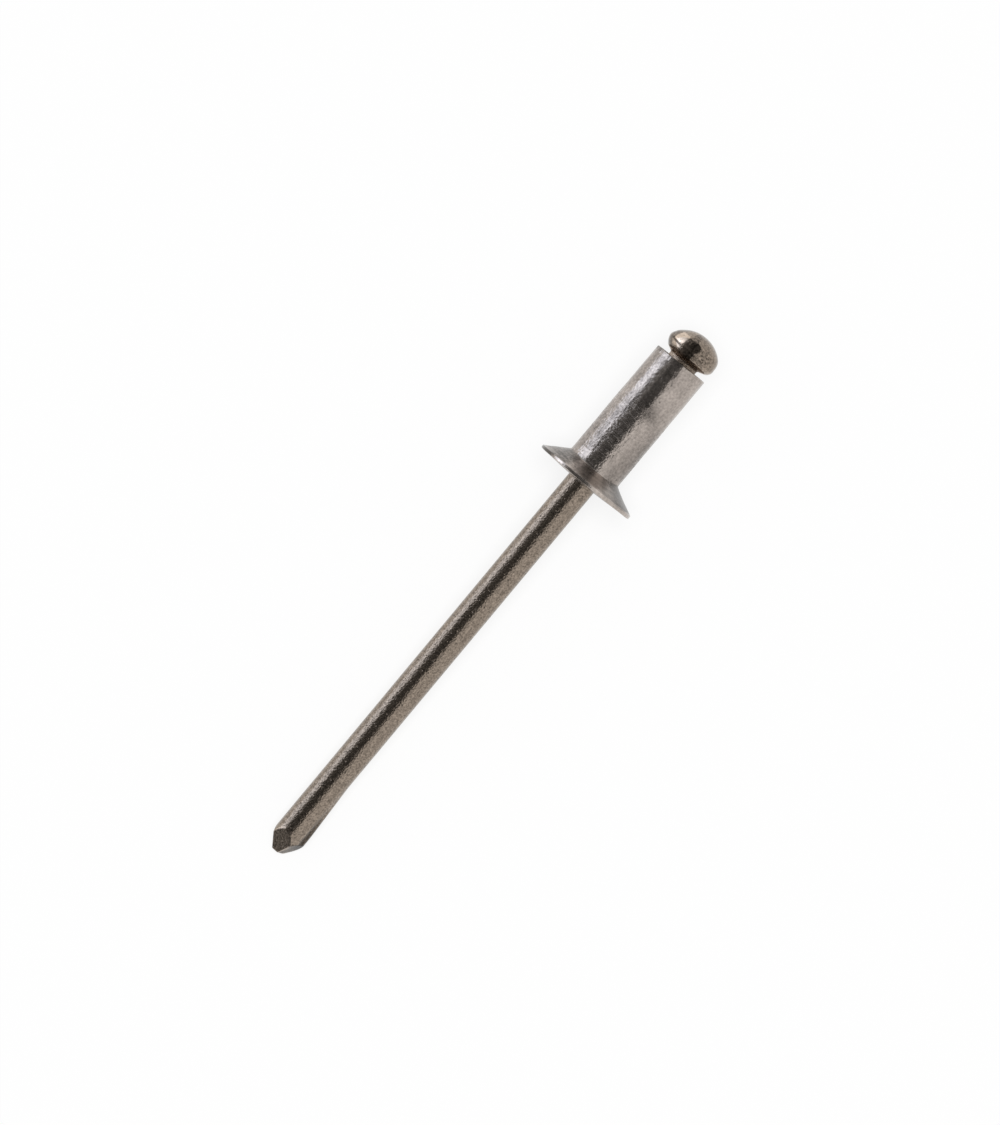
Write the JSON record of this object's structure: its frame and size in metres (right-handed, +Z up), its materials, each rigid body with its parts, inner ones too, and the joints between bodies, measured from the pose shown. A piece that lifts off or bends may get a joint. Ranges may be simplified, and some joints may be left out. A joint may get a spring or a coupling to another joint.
{
  "type": "countersunk blind rivet",
  "caption": "Unset open-end blind rivet: hollow sleeve with a thin countersunk flange, on a long pointed mandrel with a domed head.",
  "frame": {"origin": "on the surface that the rivet lies on, below the middle of its box", "axes": "+Z up; +X level, along the rivet from its point to its head; the rivet's own axis climbs 4.97 degrees towards +X, because it rests on the flange's rim and the end of the shank"},
  "size_m": [0.0446, 0.0074, 0.0075],
  "materials": {
    "sleeve_aluminium": "drawn and tumbled, satin with fine turning marks on the flange",
    "mandrel_steel": "drawn wire, semi-bright and finely pitted, with sheared flats on the point"
  },
  "bodies": {
    "root": {"rivet_body": "sleeve_aluminium", "mandrel": "mandrel_steel"}
  },
  "joints": []
}
